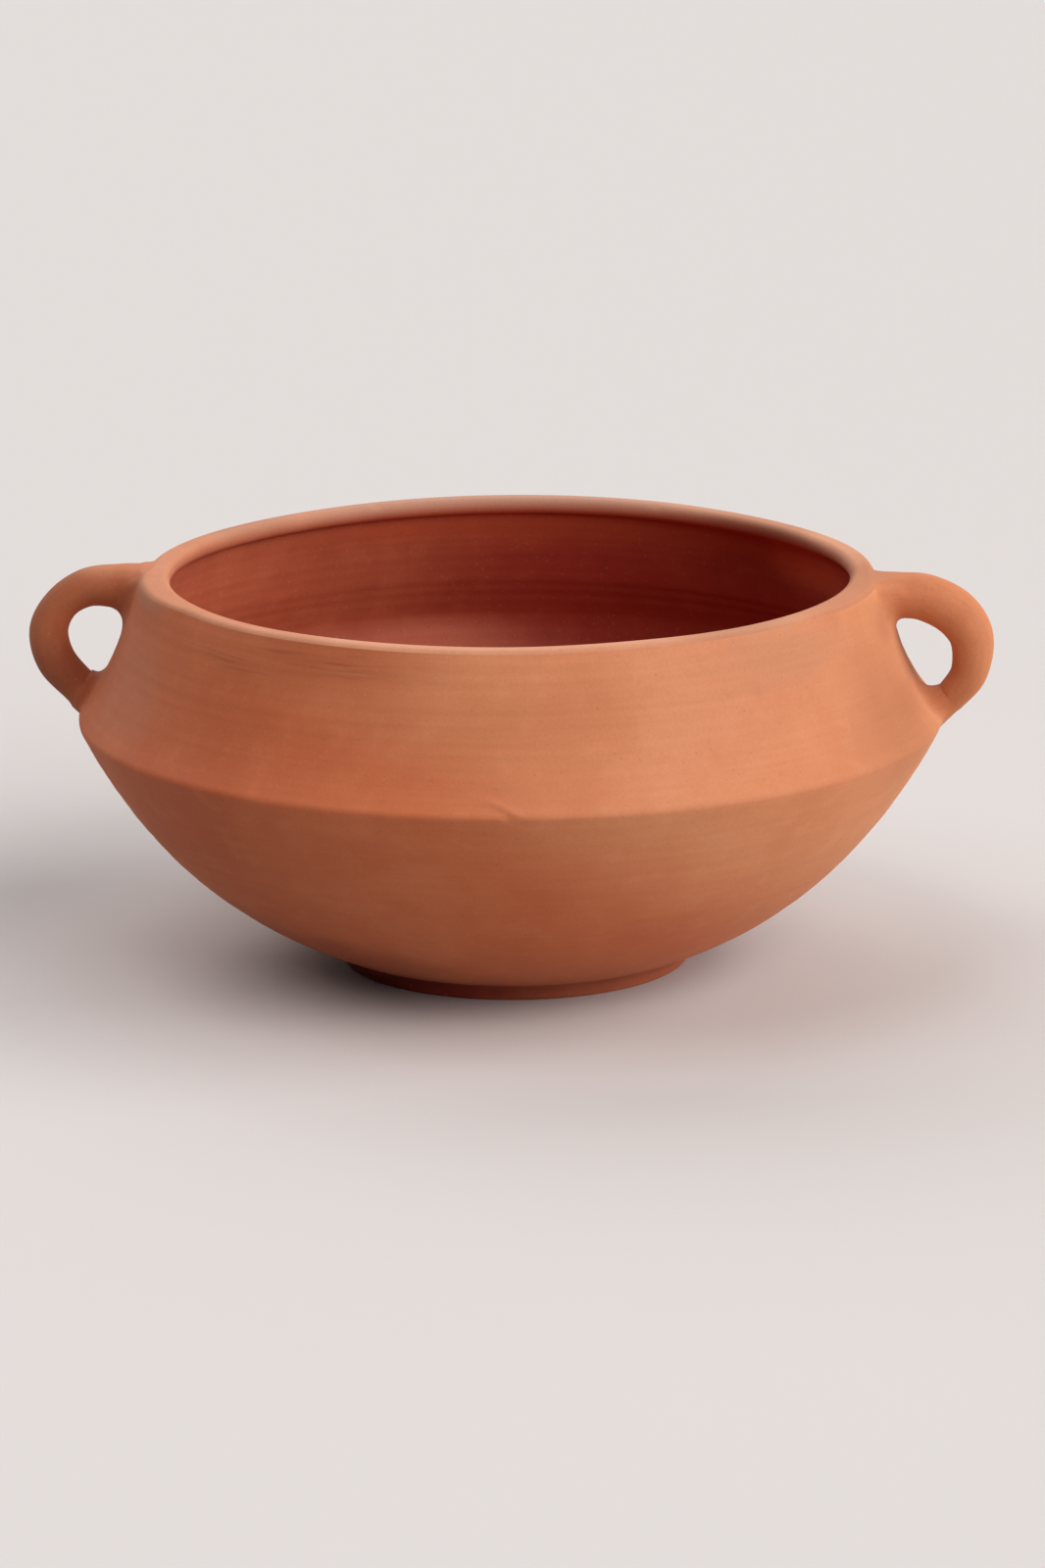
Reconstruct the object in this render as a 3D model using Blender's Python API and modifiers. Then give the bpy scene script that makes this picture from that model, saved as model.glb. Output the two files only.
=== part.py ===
# Terracotta bowl: a keeled body with a turned-in shoulder, a rolled lip, a low foot ring
# and two loop handles. Metres, +Z up. The origin is the centre of the face that the foot
# stands on, and the handles lie along X.

import math

import bmesh
import bpy
from mathutils import Vector

# Body, as radii from the axis and heights above the foot's standing face
GIRTH_RADIUS = 0.150            # widest point, on the keel
GIRTH_HEIGHT = 0.0875
GIRTH_ROUND = 0.004             # edge rounding of the keel
GIRTH_THICKNESS = 0.0095        # clay behind the keel, where the wall bends
WALL = 0.006
FLOOR_THICKNESS = 0.006
FLOOR_SWEEP_HEIGHT = 0.004      # least rise over which the floor curves up into the wall
BELLY_RISE_AT_FOOT = 22.0       # degrees above level
BELLY_RISE_AT_GIRTH = 62.5
SHOULDER_LEAN_AT_GIRTH = 41.0   # degrees inward from upright
SHOULDER_LEAN_AT_RIM = 29.0

# Rim
RIM_HEIGHT = 0.1383
RIM_INSET = 0.0294              # keel to the rim's crest, towards the axis
RIM_RADIUS = GIRTH_RADIUS - RIM_INSET
RIM_TOP_WIDTH = 0.0024          # level stretch of the crest, between its two roundings
RIM_OUTER_ROUND = 0.0035
LIP_ROUND = 0.0037              # bead that overhangs the inside
LIP_TUCK = 70.0                 # degrees that the bead turns under past its innermost line

# Foot ring
FOOT_RADIUS = 0.0605
FOOT_WIDTH = 0.0095             # of the ring, at the standing face
FOOT_HEIGHT = 0.0068
FOOT_SPREAD = 0.0055            # how far the ring's side runs out before it meets the belly
FOOT_TOP_RADIUS = FOOT_RADIUS + FOOT_SPREAD
FOOT_ROUND = 0.001              # rounding of the standing face's edges
FOOT_INNER_FLARE = 0.002        # how far the ring's inside narrows towards the body

# Handles, drawn as an oval coil bent to a loop between the rim and the keel
HANDLE_OVERHANG = 0.0183        # keel to the loop's outermost face
HANDLE_THICKNESS = 0.0135       # seen from the side
HANDLE_WIDTH = 0.0165           # along the rim
HANDLE_BELOW_RIM = 0.0079       # rim's crest down to the coil's middle where it leaves the wall
HANDLE_TOP_TILT = 6.0           # degrees that it leaves upward
HANDLE_ABOVE_GIRTH = 0.0047     # keel up to the coil's middle where it lands
HANDLE_BOTTOM_TILT = 41.0       # degrees that it lands downward
HANDLE_STRAIGHT = 0.0054        # straight run of the coil at each root
HANDLE_TOP_HEIGHT = RIM_HEIGHT - HANDLE_BELOW_RIM
HANDLE_BOTTOM_HEIGHT = GIRTH_HEIGHT + HANDLE_ABOVE_GIRTH
HANDLE_REACH = GIRTH_RADIUS + HANDLE_OVERHANG
HANDLE_CROWN_RATIO = 0.558      # height of the outermost point, of the way from root to root
HANDLE_ROOT_RATIO = 1.16        # coil's size at its roots, against its middle
HANDLE_TOP_RATIO = 1.08         # and where the loop starts to bend below the rim

SLIP_GAP = 0.0003               # joint between pieces of clay
MERGE_DISTANCE = 0.00001

# How long a curve keeps the direction of each of its ends, as shares of its chord
BELLY_PULLS = (0.25, 0.49)
SHOULDER_PULLS = (0.42, 0.34)
FLOOR_PULLS = (0.35, 0.35)
KEEL_BEND_PULLS = (0.35, 0.30)
FOOT_SIDE_PULLS = (0.30, 0.55)
HANDLE_TOP_PULLS = (0.291, 0.367)
HANDLE_BOTTOM_PULLS = (0.441, 0.294)

# Faces
SEGMENTS = 96                   # round the turned pieces
BELLY_STEPS = 11
SHOULDER_STEPS = 8
FLOOR_STEPS = 4
KEEL_STEPS = 3                  # in each half of the keel's rounding
KEEL_BEND_STEPS = 3             # in each half of the bend inside it
BELLY_BEND_STEPS = 2            # steps of the belly's inside that the bend takes the place of
SHOULDER_BEND_STEPS = 3
RIM_STEPS = 5
LIP_STEPS = 7
FOOT_SIDE_STEPS = 5
FOOT_EDGE_STEPS = 3
HANDLE_STEPS = 10               # along each stretch between two knots of the loop
HANDLE_ROUND_STEPS = 6          # round the coil, in a curve bevel's own count
SMOOTH_ANGLE = 40.0             # degrees, up to which two faces of a handle shade as one

CLAY = (0.600, 0.195, 0.085)
FOOT_CLAY = (0.500, 0.145, 0.062)


# Profiles: lists of (radius, height), joined into one outline for each turned piece


def heading(degrees):
    return Vector((math.cos(math.radians(degrees)), math.sin(math.radians(degrees))))


def angle_of(direction):
    return math.degrees(math.atan2(direction.y, direction.x))


def sweep(start, start_heading, end, end_heading, pulls, steps):
    """Curve that leaves start and reaches end in the two given directions."""
    start = Vector(start)
    end = Vector(end)
    chord = (end - start).length
    near = start + heading(start_heading) * chord * pulls[0]
    far = end - heading(end_heading) * chord * pulls[1]
    points = []
    for i in range(steps + 1):
        t = i / steps
        u = 1 - t
        points.append(start * u**3 + near * 3 * u * u * t + far * 3 * u * t * t + end * t**3)
    return points


def arc(centre, radius, start_angle, end_angle, steps):
    turn = (end_angle - start_angle) / steps
    return [Vector(centre) + heading(start_angle + turn * i) * radius for i in range(steps + 1)]


def offset_left(points, distance):
    """The same line moved to its left, which is inward for a wall drawn upward."""
    moved = []
    for i, point in enumerate(points):
        along = points[min(i + 1, len(points) - 1)] - points[max(i - 1, 0)]
        along.normalize()
        moved.append(point + Vector((-along.y, along.x)) * distance)
    return moved


def keel_round(start_angle, end_angle, steps):
    centre = (GIRTH_RADIUS - GIRTH_ROUND, GIRTH_HEIGHT)
    return arc(centre, GIRTH_ROUND, start_angle, end_angle, steps)


def belly_line():
    """Outside of the lower bowl, from the foot up to the keel's rounding."""
    end = keel_round(BELLY_RISE_AT_GIRTH - 90, 0, 1)[0]
    start = (FOOT_TOP_RADIUS, FOOT_HEIGHT)
    return sweep(start, BELLY_RISE_AT_FOOT, end, BELLY_RISE_AT_GIRTH, BELLY_PULLS, BELLY_STEPS)


def shoulder_line():
    """Outside of the shoulder, from the keel's rounding up to the rim."""
    start = keel_round(0, SHOULDER_LEAN_AT_GIRTH, 1)[-1]
    end = rim_round(SHOULDER_LEAN_AT_RIM, 90, 1)[0]
    headings = (90 + SHOULDER_LEAN_AT_GIRTH, 90 + SHOULDER_LEAN_AT_RIM)
    return sweep(start, headings[0], end, headings[1], SHOULDER_PULLS, SHOULDER_STEPS)


def rim_round(start_angle, end_angle, steps):
    centre = (RIM_RADIUS + RIM_TOP_WIDTH, RIM_HEIGHT - RIM_OUTER_ROUND)
    return arc(centre, RIM_OUTER_ROUND, start_angle, end_angle, steps)


def inner_girth():
    return Vector((GIRTH_RADIUS - GIRTH_THICKNESS, GIRTH_HEIGHT))


def keel_bend(start, start_direction, end, end_direction):
    """Half of the bend inside the keel, from the wall to its outermost point."""
    headings = (angle_of(start_direction), angle_of(end_direction))
    return sweep(start, headings[0], end, headings[1], KEEL_BEND_PULLS, KEEL_BEND_STEPS)


def inner_belly_line():
    """Inside of the lower bowl, from the middle of its floor up to the keel."""
    middle = Vector((0, FOOT_HEIGHT + FLOOR_THICKNESS))
    wall = offset_left(belly_line(), WALL)[:-BELLY_BEND_STEPS]
    wall = [point for point in wall if point.y > middle.y + FLOOR_SWEEP_HEIGHT]
    rise = angle_of(wall[1] - wall[0])
    climb = wall[0].y - middle.y
    corner = wall[0].x - climb / math.tan(math.radians(rise))
    floor_edge = Vector((corner - climb / math.sin(math.radians(rise)), middle.y))
    floor = sweep(floor_edge, 0, wall[0], rise, FLOOR_PULLS, FLOOR_STEPS)
    bend = keel_bend(wall[-1], wall[-1] - wall[-2], inner_girth(), Vector((0, 1)))
    return [middle] + floor[:-1] + wall + bend[1:]


def inner_shoulder_line():
    """Inside of the shoulder, from the keel up to the rim."""
    wall = offset_left(shoulder_line(), WALL)[SHOULDER_BEND_STEPS:]
    bend = keel_bend(wall[0], wall[0] - wall[1], inner_girth(), Vector((0, -1)))
    return bend[:0:-1] + wall


def lower_bowl_profile():
    keel = keel_round(BELLY_RISE_AT_GIRTH - 90, 0, KEEL_STEPS)
    outside = belly_line() + keel[1:]
    underside = [Vector((0, FOOT_HEIGHT))]
    return inner_belly_line() + outside[::-1] + underside


def shoulder_profile():
    joint_angle = math.degrees(math.asin(SLIP_GAP / GIRTH_ROUND))
    keel = keel_round(joint_angle, SHOULDER_LEAN_AT_GIRTH, KEEL_STEPS)
    outside = keel[:-1] + shoulder_line()
    inside = inner_shoulder_line()
    inside[0] = inside[0] + Vector((0, SLIP_GAP))
    return inside + outside[::-1]


def rim_profile():
    joint_turn = math.degrees(SLIP_GAP / RIM_OUTER_ROUND)
    outside = rim_round(SHOULDER_LEAN_AT_RIM + joint_turn, 90, RIM_STEPS)
    bead_centre = (RIM_RADIUS, RIM_HEIGHT - LIP_ROUND)
    bead = arc(bead_centre, LIP_ROUND, 90, 180 + LIP_TUCK, LIP_STEPS)
    seat = inner_shoulder_line()[-1] + heading(90 + SHOULDER_LEAN_AT_RIM) * SLIP_GAP
    return [seat] + bead[::-1] + outside[::-1]


def foot_profile():
    top = FOOT_HEIGHT - SLIP_GAP
    outer_centre = (FOOT_RADIUS - FOOT_ROUND, FOOT_ROUND)
    outer_low = arc(outer_centre, FOOT_ROUND, 0, -90, FOOT_EDGE_STEPS)
    start = (FOOT_TOP_RADIUS, top)
    start_heading = 180 + BELLY_RISE_AT_FOOT
    side = sweep(start, start_heading, outer_low[0], -90, FOOT_SIDE_PULLS, FOOT_SIDE_STEPS)
    inner_radius = FOOT_RADIUS - FOOT_WIDTH
    inner_centre = (inner_radius + FOOT_ROUND, FOOT_ROUND)
    inner_low = arc(inner_centre, FOOT_ROUND, -90, -180, FOOT_EDGE_STEPS)
    inner_top = Vector((inner_radius - FOOT_INNER_FLARE, top))
    return [inner_top] + side[:-1] + outer_low + inner_low


# Blender objects


def clay(name, colour, roughness):
    material = bpy.data.materials.new(name)
    material.use_nodes = True
    shader = material.node_tree.nodes["Principled BSDF"]
    shader.inputs["Base Color"].default_value = (*colour, 1)
    shader.inputs["Roughness"].default_value = roughness
    shader.inputs["Metallic"].default_value = 0
    return material


def new_collection(name):
    collection = bpy.data.collections.new(name)
    bpy.context.scene.collection.children.link(collection)
    return collection


def turned_piece(name, profile, closed, collection):
    """Object whose outline is spun about Z by a Screw modifier."""
    mesh = bpy.data.meshes.new(name)
    outline = bmesh.new()
    corners = [outline.verts.new((point.x, 0, point.y)) for point in profile]
    for a, b in zip(corners, corners[1:]):
        outline.edges.new((a, b))
    if closed:
        outline.edges.new((corners[-1], corners[0]))
    outline.to_mesh(mesh)
    outline.free()
    piece = bpy.data.objects.new(name, mesh)
    collection.objects.link(piece)
    spin = piece.modifiers.new("Turning", "SCREW")
    spin.axis = "Z"
    spin.angle = math.tau
    spin.steps = SEGMENTS
    spin.render_steps = SEGMENTS
    spin.use_merge_vertices = True
    spin.merge_threshold = MERGE_DISTANCE
    spin.use_smooth_shade = True
    return piece


def wall_envelope(collection):
    """Solid of the body's outside, one slip joint larger, that trims the handles' roots."""
    keel = keel_round(BELLY_RISE_AT_GIRTH - 90, SHOULDER_LEAN_AT_GIRTH, 2 * KEEL_STEPS)
    rim = rim_round(SHOULDER_LEAN_AT_RIM, 90, RIM_STEPS)
    outside = belly_line() + keel[1:-1] + shoulder_line() + rim[1:]
    grown = offset_left(outside, -SLIP_GAP)
    grown = [Vector((0, grown[0].y))] + grown + [Vector((0, grown[-1].y))]
    envelope = turned_piece("wall_envelope", grown[::-1], False, collection)
    envelope.hide_render = True
    envelope.display_type = "WIRE"
    return envelope


def wall_radius(height):
    """Outside radius of the shoulder at a height."""
    line = shoulder_line() + rim_round(SHOULDER_LEAN_AT_RIM, 90, RIM_STEPS)[1:]
    for low, high in zip(line, line[1:]):
        if low.y <= height <= high.y:
            share = (height - low.y) / (high.y - low.y)
            return low.x + (high.x - low.x) * share
    return line[0].x


def handle_knots():
    """Knots of the coil's middle line: place, direction, pull before, pull after, size."""
    top_out = heading(HANDLE_TOP_TILT)
    bottom_in = heading(180 + HANDLE_BOTTOM_TILT)
    down = Vector((0, -1))
    top = Vector((wall_radius(HANDLE_TOP_HEIGHT), HANDLE_TOP_HEIGHT))
    bottom = Vector((wall_radius(HANDLE_BOTTOM_HEIGHT), HANDLE_BOTTOM_HEIGHT))
    rise = (HANDLE_TOP_HEIGHT - HANDLE_BOTTOM_HEIGHT) * HANDLE_CROWN_RATIO
    crown = Vector((HANDLE_REACH - HANDLE_THICKNESS / 2, HANDLE_BOTTOM_HEIGHT + rise))
    top_end = top + top_out * HANDLE_STRAIGHT
    bottom_start = bottom - bottom_in * HANDLE_STRAIGHT
    root = (WALL + HANDLE_STRAIGHT) / 3
    upper = (crown - top_end).length
    lower = (bottom_start - crown).length
    return [
        (top - top_out * WALL, top_out, root, root, HANDLE_ROOT_RATIO),
        (top_end, top_out, root, HANDLE_TOP_PULLS[0] * upper, HANDLE_TOP_RATIO),
        (crown, down, HANDLE_TOP_PULLS[1] * upper, HANDLE_BOTTOM_PULLS[0] * lower, 1.0),
        (bottom_start, bottom_in, HANDLE_BOTTOM_PULLS[1] * lower, root, 1.0),
        (bottom + bottom_in * WALL, bottom_in, root, root, HANDLE_ROOT_RATIO),
    ]


def handle_curve(name, side, collection):
    """Coil as a round curve, from its root under the rim out and down to its root at the keel."""
    curve = bpy.data.curves.new(name, "CURVE")
    curve.dimensions = "3D"
    curve.bevel_depth = HANDLE_THICKNESS / 2
    curve.bevel_resolution = HANDLE_ROUND_STEPS
    curve.use_fill_caps = True
    curve.resolution_u = HANDLE_STEPS
    spline = curve.splines.new("BEZIER")
    knots = handle_knots()
    spline.bezier_points.add(len(knots) - 1)
    for knot, (place, direction, before, after, size) in zip(spline.bezier_points, knots):
        back = place - direction * before
        ahead = place + direction * after
        knot.handle_left_type = "FREE"
        knot.handle_right_type = "FREE"
        knot.co = (side * place.x, 0, place.y)
        knot.handle_left = (side * back.x, 0, back.y)
        knot.handle_right = (side * ahead.x, 0, ahead.y)
        knot.radius = size
    coil = bpy.data.objects.new(name, curve)
    collection.objects.link(coil)
    return coil


def handle_piece(name, side, envelope, collection):
    coil = handle_curve(name + "_coil", side, collection)
    bpy.context.view_layer.update()
    evaluated = coil.evaluated_get(bpy.context.evaluated_depsgraph_get())
    mesh = bpy.data.meshes.new_from_object(evaluated)
    mesh.name = name
    shape = bmesh.new()
    shape.from_mesh(mesh)
    bmesh.ops.remove_doubles(shape, verts=shape.verts, dist=MERGE_DISTANCE)
    bmesh.ops.scale(shape, verts=shape.verts, vec=(1, HANDLE_WIDTH / HANDLE_THICKNESS, 1))
    bmesh.ops.recalc_face_normals(shape, faces=shape.faces)
    shape.to_mesh(mesh)
    shape.free()
    piece = bpy.data.objects.new(name, mesh)
    piece.matrix_world = coil.matrix_world
    collection.objects.link(piece)
    bpy.data.objects.remove(coil)
    trim = piece.modifiers.new("Seat on the wall", "BOOLEAN")
    trim.operation = "DIFFERENCE"
    trim.object = envelope
    mesh.shade_smooth()
    mesh.set_sharp_from_angle(angle=math.radians(SMOOTH_ANGLE))
    return piece


def finish(piece, colour):
    piece.data.materials.clear()
    piece.data.materials.append(clay(piece.name + "_clay", colour, 0.85))


def main():
    for old in list(bpy.data.objects):
        bpy.data.objects.remove(old, do_unlink=True)
    parts = new_collection("terracotta_bowl")
    cutters = new_collection("cutters")

    finish(turned_piece("lower_bowl", lower_bowl_profile(), False, parts), CLAY)
    finish(turned_piece("shoulder_wall", shoulder_profile(), True, parts), CLAY)
    finish(turned_piece("rim_lip", rim_profile(), True, parts), CLAY)
    finish(turned_piece("foot_ring", foot_profile(), True, parts), FOOT_CLAY)

    envelope = wall_envelope(cutters)
    for name, side in (("handle_left", -1), ("handle_right", 1)):
        finish(handle_piece(name, side, envelope, parts), CLAY)


main()
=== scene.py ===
import math

import bmesh
import bpy
from mathutils import Matrix, Vector, noise
from mathutils.bvhtree import BVHTree
from mathutils.geometry import interpolate_bezier


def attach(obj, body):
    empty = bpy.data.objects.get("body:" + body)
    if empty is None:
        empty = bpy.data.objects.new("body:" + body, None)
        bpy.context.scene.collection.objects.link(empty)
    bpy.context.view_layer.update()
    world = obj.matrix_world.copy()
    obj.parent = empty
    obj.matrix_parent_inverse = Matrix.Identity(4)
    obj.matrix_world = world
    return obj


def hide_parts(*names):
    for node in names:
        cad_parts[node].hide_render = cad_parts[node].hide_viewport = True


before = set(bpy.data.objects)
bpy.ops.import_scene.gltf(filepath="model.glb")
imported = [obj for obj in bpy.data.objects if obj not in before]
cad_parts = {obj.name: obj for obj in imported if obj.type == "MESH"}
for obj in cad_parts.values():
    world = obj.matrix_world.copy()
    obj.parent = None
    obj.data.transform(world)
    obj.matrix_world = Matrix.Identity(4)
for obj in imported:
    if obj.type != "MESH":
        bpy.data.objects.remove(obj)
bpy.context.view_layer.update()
mm = 0.001
mergeDistance = 0.002 * mm
print("frame loaded")


# Camera: stands in front, a little round towards the right handle

camera = {
    "azimuth": 4.4,         # degrees from the front towards the right handle
    "elevation": 14.23,
    "roll": -0.34,
    "distance": 2.5,
    "aimAside": 0.00399,    # aim point, right of the bowl's axis
    "aimHeight": 0.06124,
    "lens": 164.47,
}


def makeCamera(values):
    azimuth, elevation, roll = (math.radians(values[k]) for k in ("azimuth", "elevation", "roll"))
    right = Vector((math.cos(azimuth), math.sin(azimuth), 0))
    level = Vector((math.sin(azimuth), -math.cos(azimuth), 0))
    away = level * math.cos(elevation) + Vector((0, 0, math.sin(elevation)))
    across = right * math.cos(roll) + away.cross(right) * math.sin(roll)
    aim = right * values["aimAside"] + Vector((0, 0, values["aimHeight"]))
    turn = Matrix((across, away.cross(across), away)).transposed().to_4x4()
    data = bpy.data.cameras.new("camera")
    data.lens = values["lens"]
    data.sensor_width = 36
    data.clip_start = 0.05
    data.clip_end = 60
    holder = bpy.data.objects.new("camera", data)
    holder.matrix_world = Matrix.Translation(aim + away * values["distance"]) @ turn
    bpy.context.scene.collection.objects.link(holder)
    bpy.context.scene.camera = holder


makeCamera(camera)
print("camera placed")


# Outlines, in millimetres: x is the distance from the bowl's axis, z the height

body = {
    "girthRadius": 150.3,       # widest line, the keel
    "girthHeight": 87.5,
    "girthRound": 2.4,
    "girthThickness": 9.5,
    "wall": 6.0,
    "floorThickness": 6.0,
    "riseAtFoot": 22.0,         # belly's slope above level, in degrees
    "riseAtGirth": 62.5,
    "bellyPulls": (0.25, 0.49),
    "leanAtGirth": 41.0,        # shoulder's slope inward from upright
    "leanAtRim": 29.0,
    "shoulderPulls": (0.42, 0.34),
    "bellyBend": 0.82,          # share of the belly's inside below the bend behind the keel
    "shoulderBend": 0.375,      # share of the shoulder's inside that the bend takes
    "bendPulls": (0.35, 0.30),
    "floorPulls": (0.3, 0.3),
    "curvePulls": (0.35, 0.35),     # where the floor turns up into the wall
    "floorClear": 4.0,          # the wall's own curve starts so far above the floor
    "insideRings": (0.5, 9.0, 2.0),     # finger rings: depth, spacing, seed
    "outsideRings": (0.12, 6.0, 4.0),
    "shoulderInsideRings": (0.4, 8.0, 6.0),
    "shoulderOutsideRings": (0.10, 5.0, 8.0),
    "step": 1.0,                # spacing of points along an outline
    "shoulderStep": 0.7,
    "undersideStep": 6,
    "segments": 320,
}
rim = {
    "height": 138.3,
    "radius": 120.6,            # crest, where the bead ends
    "topWidth": 2.9,
    "outerRound": 2.6,
    "lipRound": 3.05,
    "lipTuck": 70.0,
    "insideHold": 6,            # outline points that keep the outer colour at the lip's foot, before the inside's painted shade begins
    "insideBlend": 9,
    "step": 0.5,
    "segments": 640,
}
foot = {
    "radius": 60.5,
    "width": 9.5,
    "height": 6.8,
    "topRadius": 66.0,
    "edgeRound": 1.0,
    "innerFlare": 2.0,
    "sidePulls": (0.30, 0.55),
    "step": 0.5,
    "segments": 320,
}


def clamp(value):
    return min(1, max(0, value))


def eased(share):
    return share * share * (3 - 2 * share)


def heading(degrees):
    return Vector((math.cos(math.radians(degrees)), 0, math.sin(math.radians(degrees))))


def slopeOf(direction):
    return math.degrees(math.atan2(direction.z, direction.x))


def sweep(start, startHeading, end, endHeading, pulls, step):
    chord = (end - start).length
    near = start + heading(startHeading) * chord * pulls[0]
    far = end - heading(endHeading) * chord * pulls[1]
    return interpolate_bezier(start, near, far, end, max(3, round(chord / step) + 1))


def arc(centre, radius, startAngle, endAngle, step):
    count = max(3, round(abs(math.radians(endAngle - startAngle)) * radius / step))
    turn = (endAngle - startAngle) / count
    return [Vector(centre) + heading(startAngle + turn * i) * radius for i in range(count + 1)]


def leftOf(points, i):
    along = (points[min(i + 1, len(points) - 1)] - points[max(i - 1, 0)]).normalized()
    return Vector((-along.z, 0, along.x))


def offsetLeft(points, distance):
    return [point + leftOf(points, i) * distance for i, point in enumerate(points)]


ringFade = 4.0                  # mm over which the finger rings start and end


def thumbed(points, depth, spacing, seed):
    # soft rings left by the fingers, fading out at both ends of the outline
    travelled = [0]
    for a, b in zip(points, points[1:]):
        travelled.append(travelled[-1] + (b - a).length)
    raised = []
    for i, point in enumerate(points):
        s = travelled[i]
        fade = min(1, s / ringFade, (travelled[-1] - s) / ringFade)
        height = noise.noise(Vector((s / spacing, seed, 0.5)))
        height += 0.45 * noise.noise(Vector((s / spacing * 2.7, seed, 3.5)))
        raised.append(point + leftOf(points, i) * height * depth * fade)
    return raised


def keelRound(startAngle, endAngle, step):
    centre = (body["girthRadius"] - body["girthRound"], 0, body["girthHeight"])
    return arc(centre, body["girthRound"], startAngle, endAngle, step)


def rimRound(startAngle, endAngle, step):
    centre = (rim["radius"] + rim["topWidth"], 0, rim["height"] - rim["outerRound"])
    return arc(centre, rim["outerRound"], startAngle, endAngle, step)


def lipBead(step):
    centre = (rim["radius"], 0, rim["height"] - rim["lipRound"])
    return arc(centre, rim["lipRound"], 90, 180 + rim["lipTuck"], step)


def bellyLine(step):
    start = Vector((foot["topRadius"], 0, foot["height"]))
    end = keelRound(body["riseAtGirth"] - 90, 0, 1)[0]
    return sweep(start, body["riseAtFoot"], end, body["riseAtGirth"], body["bellyPulls"], step)


def shoulderLine(step):
    start = keelRound(0, body["leanAtGirth"], 1)[-1]
    end = rimRound(body["leanAtRim"], 90, 1)[0]
    headings = (90 + body["leanAtGirth"], 90 + body["leanAtRim"])
    return sweep(start, headings[0], end, headings[1], body["shoulderPulls"], step)


def keelBend(start, direction, end, endHeading, step):
    return sweep(start, slopeOf(direction), end, endHeading, body["bendPulls"], step)


def innerGirth():
    return Vector((body["girthRadius"] - body["girthThickness"], 0, body["girthHeight"]))


def innerBelly(step):
    middle = Vector((0, 0, foot["height"] + body["floorThickness"]))
    clear = middle.z + body["floorClear"]
    wall = offsetLeft(bellyLine(step), body["wall"])
    wall = [p for p in wall[:round(len(wall) * body["bellyBend"])] if p.z > clear]
    rise = slopeOf(wall[1] - wall[0])
    climb = wall[0].z - middle.z
    corner = wall[0].x - climb / math.tan(math.radians(rise))
    edge = Vector((corner - climb / math.sin(math.radians(rise)), 0, middle.z))
    floor = sweep(middle, 0, edge, 0, body["floorPulls"], 2 * step)
    curveUp = sweep(edge, 0, wall[0], rise, body["curvePulls"], step)
    bend = keelBend(wall[-1], wall[-1] - wall[-2], innerGirth(), 90, step)
    return floor[:-1] + curveUp[:-1] + wall + bend[1:]


def innerShoulder(step):
    wall = offsetLeft(shoulderLine(step), body["wall"])
    wall = wall[round(len(wall) * body["shoulderBend"]):]
    bend = keelBend(wall[0], wall[0] - wall[1], innerGirth(), -90, step)
    return bend[:0:-1] + wall


def lowerBowlOutline():
    step = body["step"]
    outside = bellyLine(step) + keelRound(body["riseAtGirth"] - 90, 0, step / 2)[1:]
    inside = thumbed(innerBelly(step), *body["insideRings"])
    middle = Vector((0, 0, foot["height"]))
    underside = sweep(middle, 0, outside[0], 0, body["floorPulls"], body["undersideStep"])
    return inside, thumbed(outside, *body["outsideRings"])[::-1] + underside[:-1][::-1]


def shoulderOutline():
    step = body["shoulderStep"]
    outside = keelRound(0, body["leanAtGirth"], step / 2)[:-1] + shoulderLine(step)
    inside = thumbed(innerShoulder(step), *body["shoulderInsideRings"])
    return inside, thumbed(outside, *body["shoulderOutsideRings"])[::-1]


def rimOutline():
    outside = rimRound(body["leanAtRim"], 90, rim["step"])
    level = [Vector((rim["radius"] + rim["topWidth"] * share, 0, rim["height"]))
             for share in (0.33, 0.67)]
    inside = [innerShoulder(body["shoulderStep"])[-1]] + lipBead(rim["step"])[::-1]
    return inside, level + outside[::-1]


def footOutline():
    step, edge = foot["step"], foot["edgeRound"]
    outerLow = arc((foot["radius"] - edge, 0, edge), edge, 0, -90, step / 2)
    start = Vector((foot["topRadius"], 0, foot["height"]))
    side = sweep(start, 180 + body["riseAtFoot"], outerLow[0], -90, foot["sidePulls"], step)
    innerRadius = foot["radius"] - foot["width"]
    innerLow = arc((innerRadius + edge, 0, edge), edge, -90, -180, step / 2)
    innerTop = Vector((innerRadius - foot["innerFlare"], 0, foot["height"]))
    return [], [innerTop] + side[:-1] + outerLow + innerLow


# Hand-made unevenness, the same for every piece, so that the pieces still meet

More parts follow.
